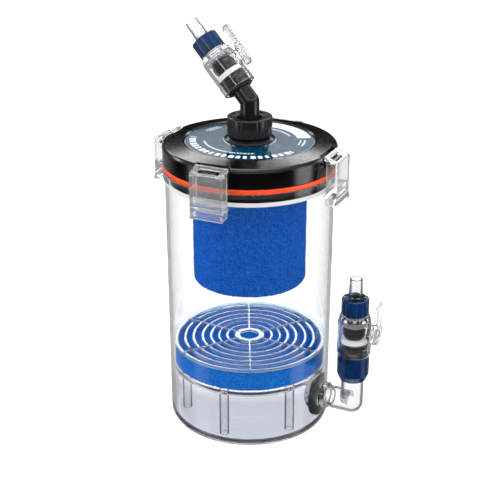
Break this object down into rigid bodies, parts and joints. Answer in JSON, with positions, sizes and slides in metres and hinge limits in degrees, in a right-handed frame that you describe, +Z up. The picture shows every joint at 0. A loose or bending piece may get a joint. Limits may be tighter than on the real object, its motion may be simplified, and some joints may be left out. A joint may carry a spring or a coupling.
{
  "type": "aquarium canister pre-filter",
  "caption": "Clear cylindrical aquarium pre-filter canister with a latched lid, sponge cartridge, sponge disc between slotted plates, and ball valves on its inlet and outlet.",
  "frame": {"origin": "centre of the barrel's flat base, on the surface it stands on", "axes": "+Z up along the barrel's axis; +X from that axis towards the side outlet"},
  "size_m": [0.2164, 0.1778, 0.3711],
  "materials": {
    "clear_acrylic": "polished",
    "smoke_plastic": "gloss",
    "black_plastic": "satin",
    "black_rubber": "matte",
    "orange_rubber": "satin",
    "navy_plastic": "satin",
    "blue_sponge": "matte",
    "tinted_label": "satin",
    "white_plastic": "satin",
    "dark_ball": "polished",
    "steel_pin": "satin"
  },
  "bodies": {
    "barrel_body": {"barrel": "clear_acrylic", "lower_plate": "clear_acrylic", "sponge_disc": "blue_sponge", "upper_grille": "clear_acrylic", "outlet_washer": "black_rubber", "outlet_locknut": "smoke_plastic", "outlet_bulkhead": "clear_acrylic", "outlet_elbow": "clear_acrylic"},
    "lid": {"lid_ring": "black_plastic", "seal_ring": "orange_rubber", "lid_window": "clear_acrylic", "lid_label": "tinted_label", "inlet_bulkhead": "black_plastic", "inlet_gasket": "black_rubber", "inlet_locknut": "black_plastic", "cartridge_core": "white_plastic", "cartridge_sponge": "blue_sponge", "cartridge_top_cap": "white_plastic", "cartridge_end_cap": "white_plastic", "latch_pin_1": "steel_pin", "latch_pin_2": "steel_pin", "latch_pin_3": "steel_pin", "latch_pin_4": "steel_pin"},
    "latch_1_body": {"latch_1": "clear_acrylic"},
    "latch_2_body": {"latch_2": "clear_acrylic"},
    "latch_3_body": {"latch_3": "clear_acrylic"},
    "latch_4_body": {"latch_4": "clear_acrylic"},
    "inlet_union_nut_body": {"inlet_union_nut": "black_plastic"},
    "inlet_line": {"inlet_elbow": "black_plastic", "inlet_o_ring": "black_rubber", "inlet_valve_body": "clear_acrylic", "inlet_lower_seat": "white_plastic", "inlet_upper_seat": "white_plastic", "inlet_seal_carrier": "black_plastic", "inlet_nozzle": "clear_acrylic"},
    "inlet_lever": {"inlet_handle": "clear_acrylic", "inlet_ball": "dark_ball"},
    "inlet_hose_nut_body": {"inlet_hose_nut": "navy_plastic"},
    "outlet_union_nut_body": {"outlet_union_nut": "navy_plastic"},
    "outlet_line": {"outlet_valve_body": "clear_acrylic", "outlet_lower_seat": "white_plastic", "outlet_upper_seat": "white_plastic", "outlet_seal_carrier": "black_plastic", "outlet_nozzle": "clear_acrylic", "outlet_o_ring": "black_rubber"},
    "outlet_lever": {"outlet_handle": "clear_acrylic", "outlet_ball": "dark_ball"},
    "outlet_hose_nut_body": {"outlet_hose_nut": "navy_plastic"}
  },
  "joints": [
    {"name": "lid_lift", "type": "slide", "parent": "barrel_body", "child": "lid", "axis": [0, 0, 1], "range_m": [0, 0.14]},
    {"name": "latch_1_swing", "type": "hinge", "parent": "lid", "child": "latch_1_body", "pos_m": [0.0808, 0, 0.2618], "axis": [0, -1, 0], "range_deg": [0, 65]},
    {"name": "latch_2_swing", "type": "hinge", "parent": "lid", "child": "latch_2_body", "pos_m": [0, 0.0808, 0.2618], "axis": [1, 0, 0], "range_deg": [0, 65]},
    {"name": "latch_3_swing", "type": "hinge", "parent": "lid", "child": "latch_3_body", "pos_m": [-0.0808, 0, 0.2618], "axis": [0, 1, 0], "range_deg": [0, 65]},
    {"name": "latch_4_swing", "type": "hinge", "parent": "lid", "child": "latch_4_body", "pos_m": [0, -0.0808, 0.2618], "axis": [-1, 0, 0], "range_deg": [0, 65]},
    {"name": "inlet_union_nut_turn", "type": "hinge", "parent": "lid", "child": "inlet_union_nut_body", "pos_m": [0, 0, 0.284], "axis": [0, 0, 1], "continuous": true},
    {"name": "inlet_swivel", "type": "hinge", "parent": "lid", "child": "inlet_line", "pos_m": [0, 0, 0.29], "axis": [0, 0, 1], "continuous": true},
    {"name": "inlet_lever_turn", "type": "hinge", "parent": "inlet_line", "child": "inlet_lever", "pos_m": [-0.02615, 0.00438, 0.33142], "axis": [0.6098, 0.6149, 0.5], "range_deg": [0, 90]},
    {"name": "inlet_hose_nut_turn", "type": "hinge", "parent": "inlet_line", "child": "inlet_hose_nut_body", "pos_m": [-0.04289, 0.00718, 0.34839], "axis": [-0.6974, 0.1167, 0.7071], "continuous": true},
    {"name": "outlet_union_nut_turn", "type": "hinge", "parent": "barrel_body", "child": "outlet_union_nut_body", "pos_m": [0.1035, 0, 0.0687], "axis": [0, 0, 1], "continuous": true},
    {"name": "outlet_swivel", "type": "hinge", "parent": "barrel_body", "child": "outlet_line", "pos_m": [0.1035, 0, 0.082], "axis": [0, 0, 1], "continuous": true},
    {"name": "outlet_lever_turn", "type": "hinge", "parent": "outlet_line", "child": "outlet_lever", "pos_m": [0.1035, 0, 0.105], "axis": [1, 0, 0], "range_deg": [0, 90]},
    {"name": "outlet_hose_nut_turn", "type": "hinge", "parent": "outlet_line", "child": "outlet_hose_nut_body", "pos_m": [0.1035, 0, 0.129], "axis": [0, 0, 1], "continuous": true}
  ]
}
